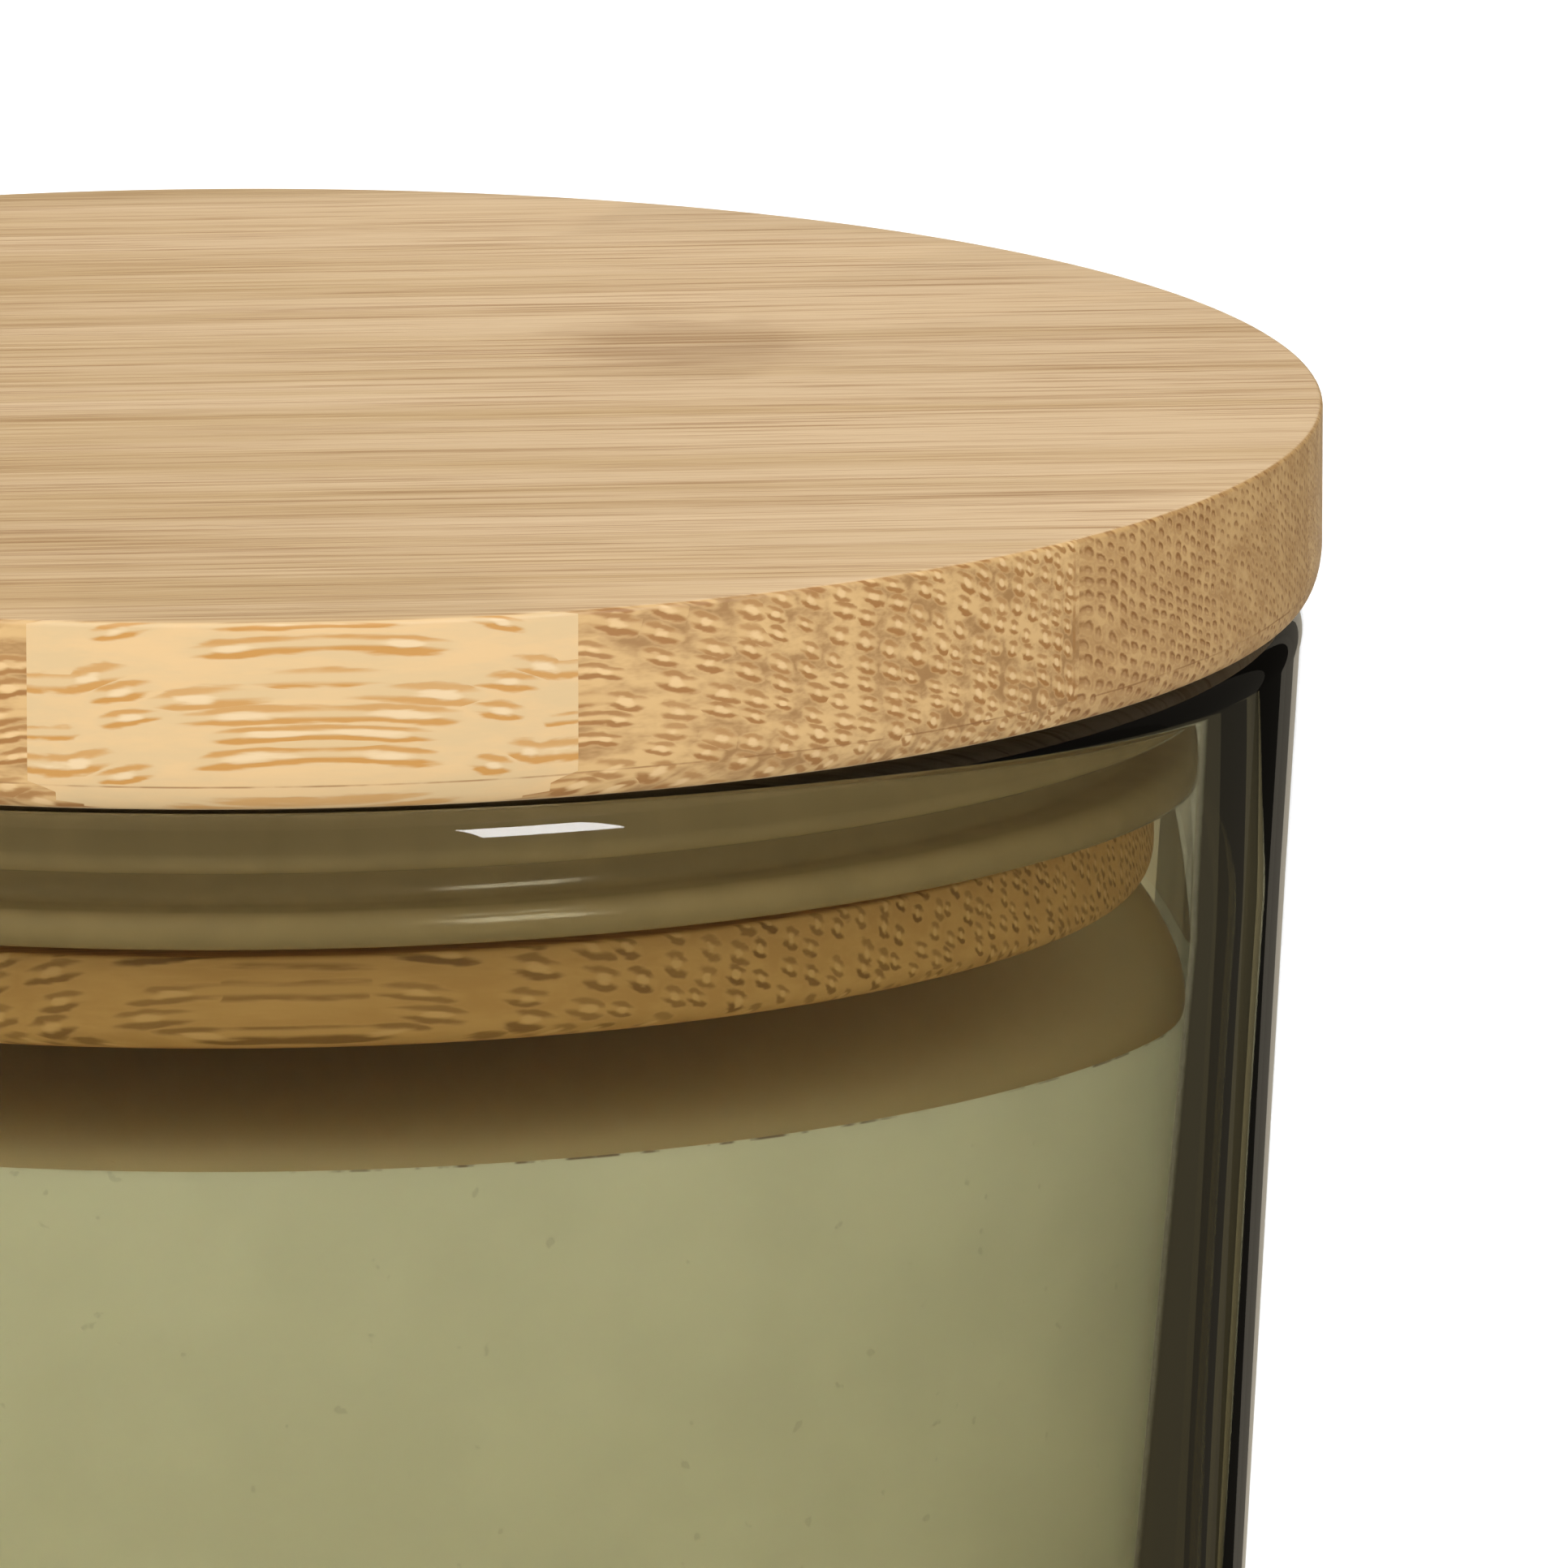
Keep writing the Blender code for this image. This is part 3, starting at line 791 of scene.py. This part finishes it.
class MakeLid(bpy.types.Operator):
    """Turns the lid board and cuts it along its glue lines into strips"""

    bl_idname = "candle_jar.lid"
    bl_label = "Laminated lid"

    def execute(self, context):
        settings = context.scene.candle_jar.bamboo
        soft, foot = settings.top_break, (settings.foot_depth, settings.foot_height)
        foot_top = LID_UNDERSIDE + foot[1]
        profile = [(0, LID_TOP)] + arc((LID_RADIUS - soft, LID_TOP - soft), (soft, soft), 90, 0, 4)
        profile += arc((LID_RADIUS - foot[0], foot_top), foot, 0, -90, 12)
        profile += [(0, LID_UNDERSIDE)]
        board = turned("lid_board", profile, 256)
        middle = (LID_TOP + LID_UNDERSIDE) / 2 * MM_PER_METRE
        sides = [(STRIP_BOXES[name][0].y, STRIP_BOXES[name][1].y) for name in STRIPS]
        cuts = [(before[1] + after[0]) / 2 for before, after in zip(sides, sides[1:])]
        for number, name in enumerate(STRIPS):
            low, high = sides[number]
            strip = self.cut_strip(board, f"bamboo_{name}", ([None] + cuts)[number], (cuts + [None])[number])
            wood = dict(STRIP_WOOD[number], low=low * MM_PER_METRE, high=high * MM_PER_METRE, middle=middle,
                        line=(LID_UNDERSIDE + settings.scratch) * MM_PER_METRE)
            bamboo(strip, f"lid_bamboo_{number + 1}", settings, wood)
            keep(strip, "lid", "lid_bamboo", name)
        bpy.data.objects.remove(board)
        return {"FINISHED"}

    def cut_strip(self, board, name, low, high):
        """A copy of the board, cut off along Y below low and above high. None leaves that side whole."""
        deselect()
        strip = board.copy()
        strip.data = board.data.copy()
        strip.name = strip.data.name = name
        bpy.context.scene.collection.objects.link(strip)
        bpy.context.view_layer.objects.active = strip
        strip.select_set(True)
        bpy.ops.object.mode_set(mode="EDIT")
        for place, normal in ((low, (0, -1, 0)), (high, (0, 1, 0))):
            if place is None:
                continue
            bpy.ops.mesh.select_all(action="SELECT")
            cut = (0, place, LID_TOP)
            bpy.ops.mesh.bisect(plane_co=cut, plane_no=normal, use_fill=True, clear_outer=True)
        finish_mesh()
        return strip


class MakeStage(bpy.types.Operator):
    """Adds the floor, the studio light, the dark tent that the glass reflects, and the camera"""

    bl_idname = "candle_jar.stage"
    bl_label = "Stage"

    def execute(self, context):
        settings = context.scene.candle_jar.stage
        deselect()
        bpy.ops.mesh.primitive_circle_add(vertices=96, radius=16, fill_type="NGON")
        floor = context.object
        floor.name = "floor"
        wiring = Wiring("pale_floor")
        wiring.finish(floor, Base_Color=tuple(settings.floor), Roughness=0.9, Specular_IOR_Level=0.0)
        self.studio(settings)
        self.tent(settings)
        context.scene.view_settings.view_transform = "Standard"
        self.camera(settings.lens)
        return {"FINISHED"}

    def round_jar(self, azimuth, distance, height):
        """A place round the jar. Azimuth is in degrees from the camera's side, to the camera's right."""
        turn = math.radians(azimuth) + SWING
        return (distance * math.sin(turn), -distance * math.cos(turn), height)

    def studio(self, settings):
        """Soft light from all round: strongest overhead and from the front left."""
        world = bpy.data.worlds.new("studio")
        bpy.context.scene.world = world
        world.use_nodes = True
        tree = world.node_tree
        background = tree.nodes["Background"]
        way = tree.nodes.new("ShaderNodeTexCoord").outputs["Generated"]
        total = tree.nodes.new("ShaderNodeValue").outputs[0]
        total.default_value = settings.ambient
        # A lobe's azimuth, elevation, power, and the cosines where it starts and where it is full
        lobes = ((0, 90, settings.top, 0.25, 0.95), (-30, 40, settings.key, 0.90, 0.99),
                 (36, 38, settings.side, 0.91, 0.985))
        for azimuth, elevation, power, start, full in lobes:
            flat = math.cos(math.radians(elevation))
            towards = tree.nodes.new("ShaderNodeVectorMath")
            towards.operation = "DOT_PRODUCT"
            tree.links.new(way, towards.inputs[0])
            aim = self.round_jar(azimuth, flat, math.sin(math.radians(elevation)))
            towards.inputs[1].default_value = aim
            lobe = tree.nodes.new("ShaderNodeMapRange")
            lobe.interpolation_type = "SMOOTHSTEP"
            tree.links.new(towards.outputs["Value"], lobe.inputs["Value"])
            for key, value in zip(("From Min", "From Max", "To Min", "To Max"), (start, full, 0, power)):
                lobe.inputs[key].default_value = value
            add = tree.nodes.new("ShaderNodeMath")
            tree.links.new(lobe.outputs[0], add.inputs[0])
            tree.links.new(total, add.inputs[1])
            total = add.outputs[0]
        seen = tree.nodes.new("ShaderNodeMix")
        tree.links.new(tree.nodes.new("ShaderNodeLightPath").outputs["Is Camera Ray"], seen.inputs[0])
        tree.links.new(total, seen.inputs[2])
        seen.inputs[3].default_value = 1.0
        background.inputs["Color"].default_value = (1, 1, 1, 1)
        tree.links.new(seen.outputs[0], background.inputs["Strength"])

    def tent(self, settings):
        """A dark tent that only shows in glass and gloss, with a slot behind and a bright window."""
        deselect()
        turn = (0, 0, SWING)
        bpy.ops.mesh.primitive_uv_sphere_add(segments=144, ring_count=72, radius=TENT_RADIUS, rotation=turn)
        tent = bpy.context.object
        tent.name = "tent"
        bpy.ops.object.transform_apply(rotation=True)
        bpy.ops.object.mode_set(mode="EDIT")
        bpy.ops.mesh.select_all(action="SELECT")
        foot = (0, 0, TENT_FOOT)
        bpy.ops.mesh.bisect(plane_co=foot, plane_no=(0, 0, -1), clear_outer=True)
        bpy.ops.mesh.extrude_region_move()
        bpy.ops.transform.resize(value=(TENT_MOUTH, TENT_MOUTH, 1), center_override=foot)
        bpy.ops.mesh.select_mode(type="FACE")
        bpy.ops.mesh.select_all(action="DESELECT")
        bpy.ops.object.mode_set(mode="OBJECT")
        tent.data.materials.append(self.glow("tent_window", settings.window))
        for number, (_, brightness) in enumerate(TENT_PANELS):
            panel = self.glow(f"tent_panel_{number + 1}", brightness * settings.tent, TENT_TONE)
            tent.data.materials.append(panel)
        for face in tent.data.polygons:
            x, y, z = face.center
            turn = math.degrees(math.atan2(x, -y) - SWING)
            azimuth = (turn + 180) % 360 - 180
            elevation = math.degrees(math.atan2(z, math.hypot(x, y)))
            number = sum(abs(azimuth) > end for end, _ in TENT_PANELS)
            face.select = number == len(TENT_PANELS)
            beside = WINDOW_AZIMUTHS[0] < azimuth < WINDOW_AZIMUTHS[1]
            window = beside and WINDOW_ELEVATIONS[0] < elevation < WINDOW_ELEVATIONS[1]
            face.material_index = 0 if window else min(number + 1, len(TENT_PANELS))
        bpy.ops.object.mode_set(mode="EDIT")
        bpy.ops.mesh.delete(type="FACE")
        bpy.ops.object.mode_set(mode="OBJECT")
        tent.visible_camera = tent.visible_diffuse = tent.visible_shadow = False

    def glow(self, name, strength, tone=(1.0, 1.0, 1.0)):
        """An even glow that light on its way out of the jar passes through."""
        wiring = Wiring(name)
        shine = wiring.add("ShaderNodeEmission")
        wiring.feed(shine.inputs["Color"], tone)
        shine.inputs["Strength"].default_value = strength
        clear = wiring.add("ShaderNodeBsdfTransparent")
        either = wiring.add("ShaderNodeMixShader")
        lit = wiring.math("GREATER_THAN", wiring.add("ShaderNodeLightPath").outputs["Diffuse Depth"], 0.5)
        for socket, value in zip(either.inputs, (lit, shine.outputs[0], clear.outputs[0])):
            wiring.feed(socket, value)
        wiring.tree.nodes.remove(wiring.shader)
        wiring.feed(wiring.output.inputs["Surface"], either.outputs[0])
        return wiring.material

    def camera(self, lens):
        """The camera, a little to the left and above, with the jar left of its middle."""
        data = bpy.data.cameras.new("camera")
        data.lens = lens
        data.sensor_width = 36
        data.clip_end = 100
        camera = bpy.data.objects.new("camera", data)
        camera.location = self.round_jar(0, CAMERA_DISTANCE, LID_TOP + CAMERA_RISE)
        camera.rotation_euler = (math.pi / 2 - CAMERA_TILT, 0, SWING - CAMERA_PAN)
        bpy.context.scene.collection.objects.link(camera)
        bpy.context.scene.camera = camera


class CandleJarPanel(bpy.types.Panel):
    """Lists the makers of the candle jar's pieces"""

    bl_idname = "VIEW3D_PT_candle_jar"
    bl_label = "Candle jar"
    bl_space_type = "VIEW_3D"
    bl_region_type = "UI"
    bl_category = "Candle jar"

    def draw(self, context):
        for maker in MAKERS:
            self.layout.operator(maker.bl_idname)


MAKERS = (MakeGlassJar, MakeWax, MakeWick, MakeSeal, MakePlug, MakeLid, MakeStage)
GROUPS = (GlassSettings, WaxSettings, BambooSettings, SealSettings, StageSettings, CandleJarSettings)


def register():
    for kind in GROUPS + MAKERS + (CandleJarPanel,):
        bpy.utils.register_class(kind)
    bpy.types.Scene.candle_jar = PointerProperty(type=CandleJarSettings)


def unregister():
    del bpy.types.Scene.candle_jar
    for kind in reversed(GROUPS + MAKERS + (CandleJarPanel,)):
        bpy.utils.unregister_class(kind)


def main():
    """Registers the makers and runs them in order."""
    register()
    for maker in MAKERS:
        group, name = maker.bl_idname.split(".")
        getattr(getattr(bpy.ops, group), name)()


if __name__ == "__main__":
    main()
